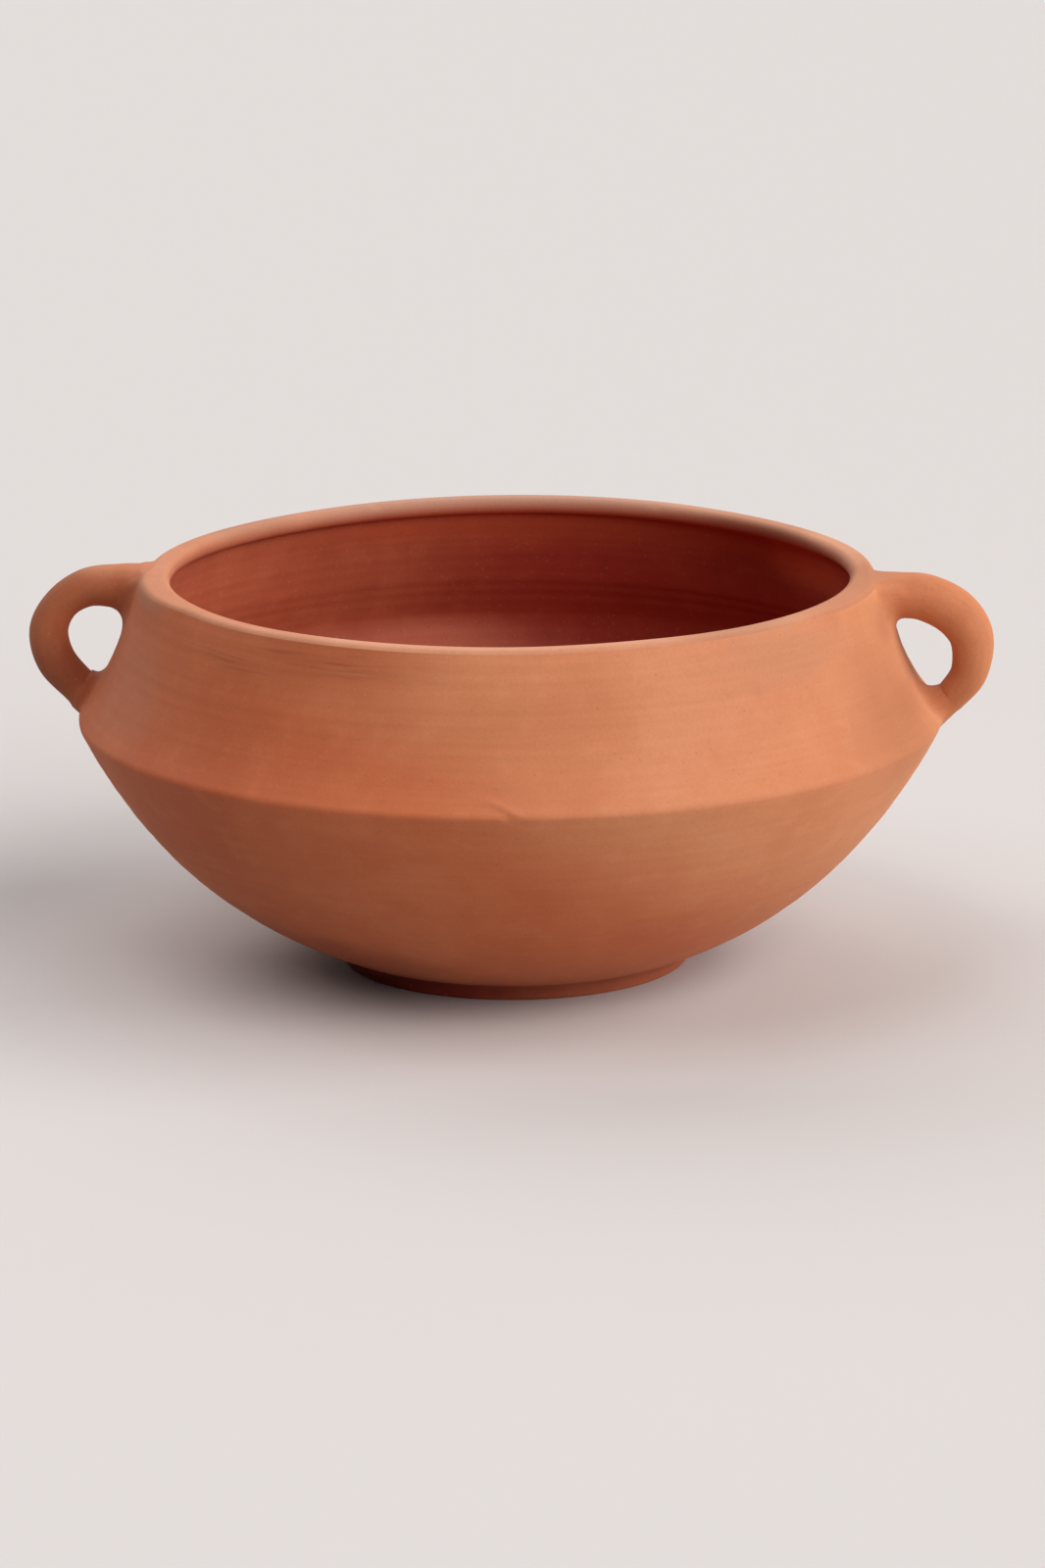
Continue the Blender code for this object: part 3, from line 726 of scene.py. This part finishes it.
def clayMaterial(name, finish):
    material = bpy.data.materials.new(name)
    material.use_nodes = True
    tree = material.node_tree
    shader = tree.nodes["Principled BSDF"]
    place = addNode(tree, "TexCoord").outputs["Object"]

    def clouded(colours):
        base, pale, deep = ((*colour, 1) for colour in colours)
        return useGroup(tree, firedTone, {"Vector": place, "Base": base, "Pale": pale, "Deep": deep,
                                          "Clouds Per Metre": finish["clouds"]})["Color"]

    # the kiln clouds, then painted light and shade over them: the side ramp and the patches
    def firedWithPaintedLight(tones, lightShadeSides, patches):
        direction, start, end = lightShadeSides
        mask = useGroup(tree, lightShadeRamp, {"Vector": place, "Direction": direction,
                                          "From": start * mm, "To": end * mm})["Mask"]
        colour = mixColours(tree, mask, clouded(tones[0]), clouded(tones[1]))
        for centre, reach, ragged, strength, patchColour in patches:
            centre, reach = [v * mm for v in centre], [v * mm for v in reach]
            mask = useGroup(tree, softPatch, {"Vector": place, "Centre": centre, "Reach": reach,
                                              "Ragged": ragged})["Mask"]
            mask = compute(tree, "MULTIPLY", mask, strength)
            colour = mixColours(tree, mask, colour, (*patchColour, 1))
        return colour

    colour = firedWithPaintedLight(finish["tones"], finish["lightShadeSides"], finish["patches"])
    # the inside takes its own tones, which are painted shade
    if "insideShadedTones" in finish:
        inside = addNode(tree, "Attribute", attribute_name="inside").outputs["Fac"]
        shadedInside = firedWithPaintedLight(finish["insideShadedTones"], finish["insideShadeSides"], finish["insidePatches"])
        colour = mixColours(tree, inside, colour, shadedInside)

    if name == "handleClay":
        # the very edges of the roots have the colour of the wall or the rim under them, painted
        # light and shade included
        coil = addNode(tree, "UVMap", uv_map="coil").outputs[0]
        run = addNode(tree, "SeparateXYZ", {0: coil}).outputs["Y"]
        toEnd = compute(tree, "MINIMUM", run, compute(tree, "SUBTRACT", 1.0, run))
        height = addNode(tree, "SeparateXYZ", {0: place}).outputs["Z"]
        onWall = firedWithPaintedLight(bodyFinish["tones"], bodyFinish["lightShadeSides"], bodyFinish["patches"])
        onRim = firedWithPaintedLight(rimFinish["tones"], rimFinish["lightShadeSides"], rimFinish["patches"])
        reached = ramped(tree, height, rootEdge[0] * mm, rootEdge[1] * mm)
        under = mixColours(tree, reached, onWall, onRim)
        colour = mixColours(tree, ramped(tree, toEnd, 0.065, 0.005), colour, under)
        marks = useGroup(tree, wipedStreaks, {"Vector": coil, "Round": finish["lines"][0],
                                              "Along": finish["lines"][1]})
    else:
        marks = useGroup(tree, turningLines, {"Vector": place, "Wander": finish["lines"][1],
                                              "Lines Per Metre": finish["lines"][0]})
    grain = useGroup(tree, sandGrain, {"Vector": place})
    centre, reach = ([v * mm for v in values] for values in finish["scorePlace"])
    scored = useGroup(tree, softPatch, {"Vector": place, "Centre": centre, "Reach": reach,
                                        "Ragged": 0.4})["Mask"]
    scores = compute(tree, "MULTIPLY", marks["Scores"], scored)

    # brightness follows the lines and the tooth; scores and pinholes are darker, sand is paler
    lines = compute(tree, "SUBTRACT", marks["Lines"], 0.5)
    tooth = compute(tree, "SUBTRACT", grain["Tooth"], 0.5)
    shade = compute(tree, "MULTIPLY_ADD", lines, finish["lineShade"] * 2, 1.0)
    shade = compute(tree, "MULTIPLY_ADD", tooth, finish["toothShade"] * 2, shade)
    shade = compute(tree, "MULTIPLY_ADD", scores, -finish["scoreShade"], shade)
    shade = compute(tree, "MULTIPLY_ADD", grain["Pinholes"], -0.2, shade)
    colour = addNode(tree, "HueSaturation", {"Value": shade, "Color": colour}).outputs[0]
    sand = compute(tree, "MULTIPLY", grain["Sand"], finish["sandShade"])
    colour = mixColours(tree, sand, colour, (*finish["sandColour"], 1))
    tree.links.new(colour, shader.inputs["Base Color"])
    rough = compute(tree, "MULTIPLY_ADD", tooth, 0.12, finish["roughness"])
    tree.links.new(rough, shader.inputs["Roughness"])

    relief = compute(tree, "MULTIPLY", lines, finish["lineDepth"])
    relief = compute(tree, "MULTIPLY_ADD", tooth, finish["toothDepth"] * 2, relief)
    relief = compute(tree, "MULTIPLY_ADD", scores, -finish["lineDepth"] * 0.6, relief)
    relief = compute(tree, "MULTIPLY_ADD", grain["Pinholes"], -finish["pinholeDepth"], relief)
    bump = addNode(tree, "Bump", {"Height": relief, "Strength": 1.0, "Distance": mm})
    tree.links.new(bump.outputs[0], shader.inputs["Normal"])
    shader.inputs["Diffuse Roughness"].default_value = 0.6
    shader.inputs["Specular IOR Level"].default_value = 0.5
    shader.inputs["Sheen Weight"].default_value = 0.04
    shader.inputs["Sheen Roughness"].default_value = 0.6
    shader.inputs["Sheen Tint"].default_value = (1.0, 0.82, 0.70, 1)
    return material


bodyClay = clayMaterial("bodyClay", bodyFinish)
rimClay = clayMaterial("rimClay", rimFinish)
footClay = clayMaterial("footClay", footFinish)
handleClay = clayMaterial("handleClay", handleFinish)
print("materials done")

# Turned pieces

lowerHalf = spun(*lowerBowlOutline(), body["segments"])
finishPiece("thrownLowerBowl", lowerHalf, bodyClay, "lower_bowl")
upperHalf = spun(*shoulderOutline(), body["segments"])
finishPiece("turnedShoulder", upperHalf, bodyClay, "shoulder_wall")
lip = spun(*rimOutline(), rim["segments"], hold=rim["insideHold"], blend=rim["insideBlend"])
finishPiece("rolledRim", lip, rimClay, "rim_lip")
ring = spun(*footOutline(), foot["segments"])
finishPiece("turnedFoot", ring, footClay, "foot_ring")
print("turned pieces done")


# Handles: a coil bent to a loop, its roots smoothed onto the wall

handleLeft = {
    "side": -1,
    # distance from the axis, height, half thickness, half width
    "coil": [
        (122.6, 129.8, 8.50, 10.50),
        (128.7, 129.5, 8.80, 11.00),
        (135.4, 130.5, 7.80, 9.60),
        (146.9, 130.1, 6.75, 8.15),
        (156.3, 124.5, 6.18, 7.68),
        (161.3, 114.9, 6.75, 8.25),
        (159.0, 104.0, 6.84, 8.34),
        (151.2, 95.0, 6.39, 8.04),
        (149.3, 93.6, 7.33, 8.93),
        (142.9, 88.3, 7.80, 9.40),
    ],
    # how far each root's smoothing runs: outer, back, hole, front
    "topAlong": (3.0, 5.3, 10.5, 7.0),
    "topSpread": (2.6, 6.0, 10.8, 8.0),
    "footAlong": (2.7, 2.0, 2.4, 2.0),
    "footSpread": (2.6, 3.2, 5.6, 2.6),
    # the top root's section is squared, and flared at the front, for so far along
    "flatness": 0.50,
    "flare": 1.1,
    "flatReach": 16.0,
}
handleRight = {
    "side": 1,
    "coil": [
        (122.6, 129.8, 8.50, 10.50),
        (128.2, 130.4, 7.50, 10.50),
        (135.3, 130.4, 7.77, 9.60),
        (144.2, 129.5, 8.08, 9.48),
        (154.2, 124.3, 8.17, 9.67),
        (159.9, 115.5, 7.59, 9.09),
        (159.1, 103.4, 6.41, 7.91),
        (153.3, 95.3, 5.55, 7.20),
        (151.9, 94.1, 5.57, 7.17),
        (142.9, 88.3, 7.80, 9.40),
    ],
    "topAlong": (4.0, 5.0, 4.9, 7.0),
    "topSpread": (2.6, 5.0, 7.9, 8.0),
    "footAlong": (1.2, 4.8, 5.9, 4.5),
    "footSpread": (3.0, 8.0, 6.6, 5.0),
    "flatness": 0.50,
    "flare": 1.1,
    "flatReach": 16.0,
}
loop = {
    "around": 64,               # faces round the coil, along it, and along each root's fillet
    "along": 72,
    "filletSteps": 9,
    "rows": 160,                # even steps along the coil
    "fineSteps": 400,
    "halvings": 14,             # in the search for where the coil leaves the wall
    "wallSegments": 480,
    "capStart": -0.3,           # where round the coil the flare begins, and how it grows
    "capBlend": 0.9,
    "sink": 0.06,               # mm that a landing is set into the wall, and its end buried
    "bury": 0.9,
}


def wallTree():
    # the outside of the turned pieces, as one surface that the handles are set on
    step = body["step"]
    outside = bellyLine(step)[:-1]
    outside += keelRound(body["riseAtGirth"] - 90, body["leanAtGirth"], step / 2)
    outside += shoulderLine(step)[1:] + rimRound(body["leanAtRim"], 90, rim["step"])[1:]
    outside += lipBead(rim["step"])
    bm = spun([], outside, loop["wallSegments"], closed=False)
    low = min(bm.faces, key=lambda face: face.calc_center_median().z)
    if low.normal.dot(low.calc_center_median()) < 0:
        bmesh.ops.reverse_faces(bm, faces=bm.faces)
    tree = BVHTree.FromBMesh(bm)
    bm.free()
    return tree


def coilPoint(stations, t):
    # smooth line through the stations, evenly in t from 0 to 1
    place = t * (len(stations) - 1)
    i = min(int(place), len(stations) - 2)
    f = place - i
    before = stations[max(i - 1, 0)]
    a, b = stations[i], stations[i + 1]
    after = stations[min(i + 2, len(stations) - 1)]
    values = []
    for p0, p1, p2, p3 in zip(before, a, b, after):
        values.append(0.5 * (2 * p1 + (p2 - p0) * f + (2 * p0 - 5 * p1 + 4 * p2 - p3) * f * f
                             + (3 * p1 - p0 - 3 * p2 + p3) * f ** 3))
    return values


def evenCoil(stations, count):
    # the same line cut into even steps
    steps = loop["fineSteps"]
    fine = [coilPoint(stations, i / steps) for i in range(steps + 1)]
    length = [0]
    for a, b in zip(fine, fine[1:]):
        length.append(length[-1] + math.hypot(b[0] - a[0], b[1] - a[1]))
    rows, k = [], 0
    for i in range(count + 1):
        target = length[-1] * i / count
        while k < steps - 1 and length[k + 1] < target:
            k += 1
        share = (target - length[k]) / (length[k + 1] - length[k])
        rows.append([a + (b - a) * share for a, b in zip(fine[k], fine[k + 1])])
    return rows


def aroundValue(four, angle):
    # outer, back, hole, front, blended round the coil
    c, s = math.cos(angle), math.sin(angle)
    weights = (max(c, 0) ** 2, max(s, 0) ** 2, max(-c, 0) ** 2, max(-s, 0) ** 2)
    return sum(v * w for v, w in zip(four, weights)) / sum(weights)


def coilColumn(rows, values, angle):
    # at the top root the coil's section is squared, and flared at the front
    column = []
    c, s = math.cos(angle), math.sin(angle)
    step = math.hypot(rows[1][0] - rows[0][0], rows[1][1] - rows[0][1])
    for i, (radius, height, half, halfWidth) in enumerate(rows):
        a, b = rows[max(i - 1, 0)], rows[min(i + 1, len(rows) - 1)]
        along = Vector((b[0] - a[0], 0, b[1] - a[1])).normalized()
        outer = Vector((-along.z, 0, along.x))
        share = max(0, 1 - i * step / values["flatReach"])
        power = 1 - values["flatness"] * eased(share) if c > 0 else 1
        cap = clamp((c - loop["capStart"]) / loop["capBlend"])
        if s < 0:
            halfWidth *= 1 + values["flare"] * share ** 1.5 * eased(cap)
        point = Vector((radius, 0, height)) + outer * half * math.copysign(abs(c) ** power, c)
        point.y = halfWidth * math.copysign(abs(s) ** power, s)
        point.x *= values["side"]
        column.append(point * mm)
    return column


def firstOutside(column, tree):
    # place in the column, counted in steps, where it comes out of the wall
    def depth(point):
        spot, normal, _, _ = tree.find_nearest(point)
        return (point - spot).dot(normal)

    i = len(column) // 2
    while i > 0 and depth(column[i]) > 0:
        i -= 1
    inside, outside = column[i], column[i + 1]
    low, high = 0.0, 1.0
    for _ in range(loop["halvings"]):
        middle = (low + high) / 2
        if depth(inside.lerp(outside, middle)) > 0:
            high = middle
        else:
            low = middle
    return i + high


def alongColumn(column, place):
    i = min(int(place), len(column) - 2)
    return column[i].lerp(column[i + 1], place - i)


def rootCurves(columns, angles, tree, along, spread):
    # per column: where the coil's own surface begins, the corner on the wall, and the landing
    exits = [firstOutside(column, tree) for column in columns]
    corners = [alongColumn(column, place) for column, place in zip(columns, exits)]
    centre = sum(corners, Vector()) / len(corners)
    curves = []
    for column, place, corner, angle in zip(columns, exits, corners, angles):
        spot, normal, _, _ = tree.find_nearest(corner)
        step = (column[int(place) + 1] - column[int(place)]).length / mm
        begin = place + aroundValue(along, angle) / step
        away = corner - centre
        away = (away - normal * away.dot(normal)).normalized()
        spot, normal, _, _ = tree.find_nearest(corner + away * aroundValue(spread, angle) * mm)
        curves.append((begin, corner, spot - normal * loop["sink"] * mm))
    return curves


def handleMesh(values, tree):
    around, along, fillet = loop["around"], loop["along"], loop["filletSteps"]
    rows = evenCoil(values["coil"], loop["rows"])
    angles = [math.tau * i / around for i in range(around)]
    columns = [coilColumn(rows, values, angle) for angle in angles]
    tops = rootCurves(columns, angles, tree, values["topAlong"], values["topSpread"])
    turned = [column[::-1] for column in columns]
    feet = rootCurves(turned, angles, tree, values["footAlong"], values["footSpread"])
    bm = bmesh.new()
    bmesh.ops.create_grid(bm, x_segments=around, y_segments=along + 2 * fillet, size=1)
    coil = bm.loops.layers.uv.new("coil")           # round the coil, and along it
    for face in bm.faces:
        for corner in face.loops:
            corner[coil].uv = (corner.vert.co.xy + Vector((1, 1))) / 2
    for vert in bm.verts:
        i = round((vert.co.x + 1) / 2 * around) % around
        j = round((vert.co.y + 1) / 2 * (along + 2 * fillet))
        topBegin, footBegin = tops[i][0], len(rows) - 1 - feet[i][0]
        if j < fillet or j > along + fillet:
            curve = tops[i] if j < fillet else feet[i]
            t = j / fillet if j < fillet else (along + 2 * fillet - j) / fillet
            begin = topBegin if j < fillet else footBegin
            start = alongColumn(columns[i], begin)
            vert.co = curve[2] * (1 - t) ** 2 + curve[1] * 2 * t * (1 - t) + start * t * t
        else:
            place = topBegin + (footBegin - topBegin) * (j - fillet) / along
            vert.co = alongColumn(columns[i], place)
    bmesh.ops.remove_doubles(bm, verts=bm.verts, dist=mergeDistance)
    rings = [edge for edge in bm.edges if edge.is_boundary]
    buried = bmesh.ops.extrude_edge_only(bm, edges=rings)["geom"]
    ends = [v for v in buried if isinstance(v, bmesh.types.BMVert)]
    bmesh.ops.translate(bm, verts=ends, vec=(-values["side"] * loop["bury"] * mm, 0, 0))
    bmesh.ops.holes_fill(bm, edges=[edge for edge in bm.edges if edge.is_boundary], sides=0)
    return bm


wall = wallTree()
for name, values, node in (("coilHandleLeft", handleLeft, "handle_left"),
                           ("coilHandleRight", handleRight, "handle_right")):
    finishPiece(name, handleMesh(values, wall), handleClay, node, sharp=50)
print("handles done")


# Floor and light

floorColours = {
    "seen": (0.75, 0.70, 0.68),
    "bounced": (0.42, 0.40, 0.39),      # what the floor sends back up under the belly
}


def makeFloor():
    bm = bmesh.new()
    bmesh.ops.create_grid(bm, x_segments=1, y_segments=1, size=8)
    mesh = bpy.data.meshes.new("floor")
    bm.to_mesh(mesh)
    bm.free()
    floor = bpy.data.objects.new("floor", mesh)
    floor.location.z = -0.05 * mm
    bpy.context.scene.collection.objects.link(floor)
    material = bpy.data.materials.new("paleFloor")
    material.use_nodes = True
    tree = material.node_tree
    shader = tree.nodes["Principled BSDF"]
    rays = addNode(tree, "LightPath").outputs
    seen = compute(tree, "MAXIMUM", rays["Is Camera Ray"], rays["Is Glossy Ray"])
    seen = compute(tree, "MAXIMUM", seen, rays["Is Transmission Ray"])
    colour = mixColours(tree, seen, (*floorColours["bounced"], 1), (*floorColours["seen"], 1))
    tree.links.new(colour, shader.inputs["Base Color"])
    shader.inputs["Roughness"].default_value = 0.9
    mesh.materials.append(material)


def makeLight(name, azimuth, elevation, angle, strength, colour):
    data = bpy.data.lights.new(name, "SUN")
    data.angle = math.radians(angle)
    data.energy = strength
    data.color = colour
    light = bpy.data.objects.new(name, data)
    a, e = math.radians(azimuth), math.radians(elevation)
    direction = Vector((math.sin(a) * math.cos(e), -math.cos(a) * math.cos(e), math.sin(e)))
    light.rotation_euler = direction.to_track_quat("Z", "Y").to_euler()
    bpy.context.scene.collection.objects.link(light)


lights = {                      # azimuth from the front towards the right, elevation, strength
    "lowRight": (90, 30, 1.65),
    "frontRight": (45, 30, 1.60),
    "top": (0, 88, 0.10),
    "highLeft": (-60, 60, 0.74),
    "back": (180, 40, 0.55),
    "backLeft": (-135, 35, 0.78),
}
softness = 45                   # degrees that each light looks wide

makeFloor()
for name, (azimuth, elevation, strength) in lights.items():
    makeLight(name, azimuth, elevation, softness, strength, (1, 1, 1))
world = bpy.data.worlds.new("studio")
bpy.context.scene.world = world
world.use_nodes = True
world.node_tree.nodes["Background"].inputs["Color"].default_value = (1, 1, 1, 1)
world.node_tree.nodes["Background"].inputs["Strength"].default_value = 0.02
bpy.context.scene.view_settings.view_transform = "Standard"

bpy.context.view_layer.update()
